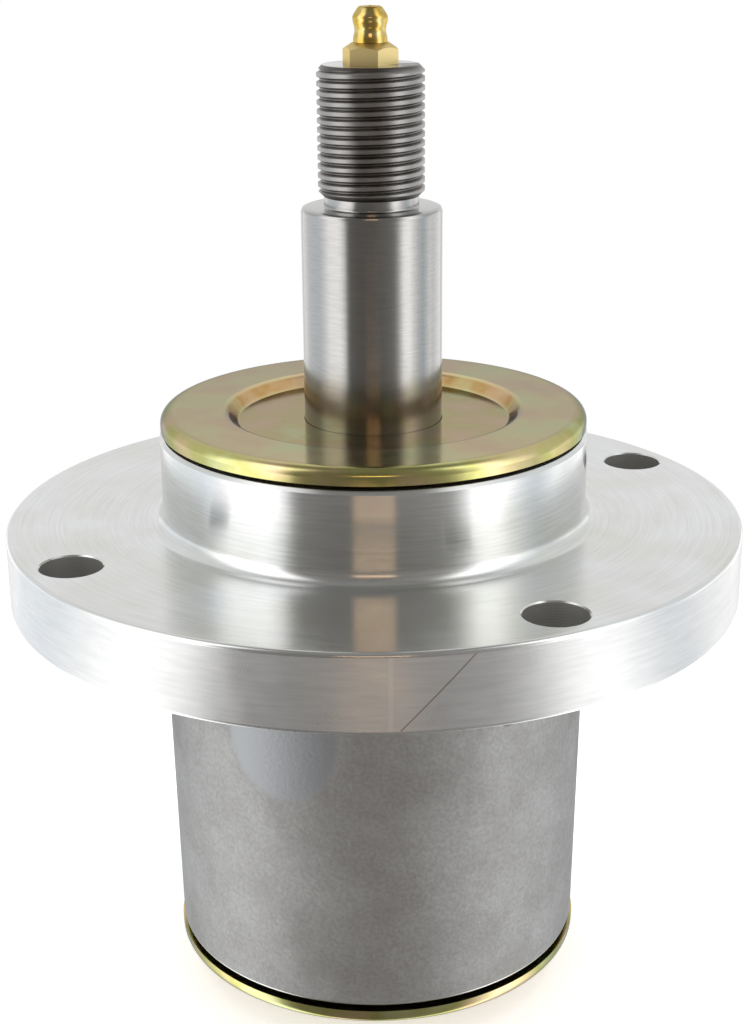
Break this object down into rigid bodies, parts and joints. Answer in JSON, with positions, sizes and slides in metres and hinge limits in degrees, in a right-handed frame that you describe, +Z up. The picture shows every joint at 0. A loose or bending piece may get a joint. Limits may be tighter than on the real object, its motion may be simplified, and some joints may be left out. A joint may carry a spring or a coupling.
{
  "type": "mower deck spindle assembly",
  "caption": "Flanged aluminium housing whose steel shaft turns in greased ball bearings, with a threaded top end for a pulley and a blade seat below.",
  "frame": {"origin": "centre of the blade seat, the lower face of the shaft's hub", "axes": "+Z up the shaft towards its threaded end; +X and +Y each point at a flange bolt hole"},
  "size_m": [0.137, 0.137, 0.185],
  "materials": {
    "cast_aluminium": "turned pilot and flange, as-cast lower body",
    "shaft_steel": "ground",
    "cap_yellow_zinc": "yellow passivated zinc plate on pressed steel",
    "fitting_yellow_zinc": "yellow passivated zinc plate",
    "washer_steel": "turned",
    "bearing_steel": "ground and polished",
    "cage_steel": "pressed sheet",
    "spring_steel": "drawn wire",
    "seal_rubber": "moulded"
  },
  "bodies": {
    "housing": {"housing": "cast_aluminium", "upper_outer_race": "bearing_steel", "upper_seal": "seal_rubber", "lower_outer_race": "bearing_steel", "lower_seal": "seal_rubber"},
    "shaft": {"shaft": "shaft_steel", "upper_dust_cap": "cap_yellow_zinc", "lower_dust_cap": "cap_yellow_zinc", "upper_shim_washer": "washer_steel", "lower_shim_washer": "washer_steel", "bearing_spacer": "washer_steel", "grease_fitting_body": "fitting_yellow_zinc", "grease_fitting_spring": "spring_steel", "upper_inner_race": "bearing_steel", "lower_inner_race": "bearing_steel"},
    "upper_cage": {"upper_balls": "bearing_steel", "upper_cage_outboard_half": "cage_steel", "upper_cage_inboard_half": "cage_steel", "upper_cage_rivets": "cage_steel"},
    "lower_cage": {"lower_balls": "bearing_steel", "lower_cage_outboard_half": "cage_steel", "lower_cage_inboard_half": "cage_steel", "lower_cage_rivets": "cage_steel"},
    "check_ball": {"grease_fitting_ball": "bearing_steel"}
  },
  "joints": [
    {"name": "shaft_spin", "type": "hinge", "parent": "housing", "child": "shaft", "pos_m": [0, 0, 0.0598], "axis": [0, 0, 1], "continuous": true},
    {"name": "upper_cage_spin", "type": "hinge", "parent": "housing", "child": "upper_cage", "pos_m": [0, 0, 0.1016], "axis": [0, 0, 1], "continuous": true},
    {"name": "lower_cage_spin", "type": "hinge", "parent": "housing", "child": "lower_cage", "pos_m": [0, 0, 0.018], "axis": [0, 0, 1], "continuous": true},
    {"name": "check_ball_travel", "type": "slide", "parent": "shaft", "child": "check_ball", "axis": [0, 0, -1], "range_m": [0, 0.001], "stiffness_N_per_m": 200, "springref_m": -0.0005, "deforming": ["grease_fitting_spring"]}
  ],
  "couplings": [
    {"joint": "upper_cage_spin", "follows": "shaft_spin", "ratio": 0.3974},
    {"joint": "lower_cage_spin", "follows": "shaft_spin", "ratio": 0.3974}
  ]
}
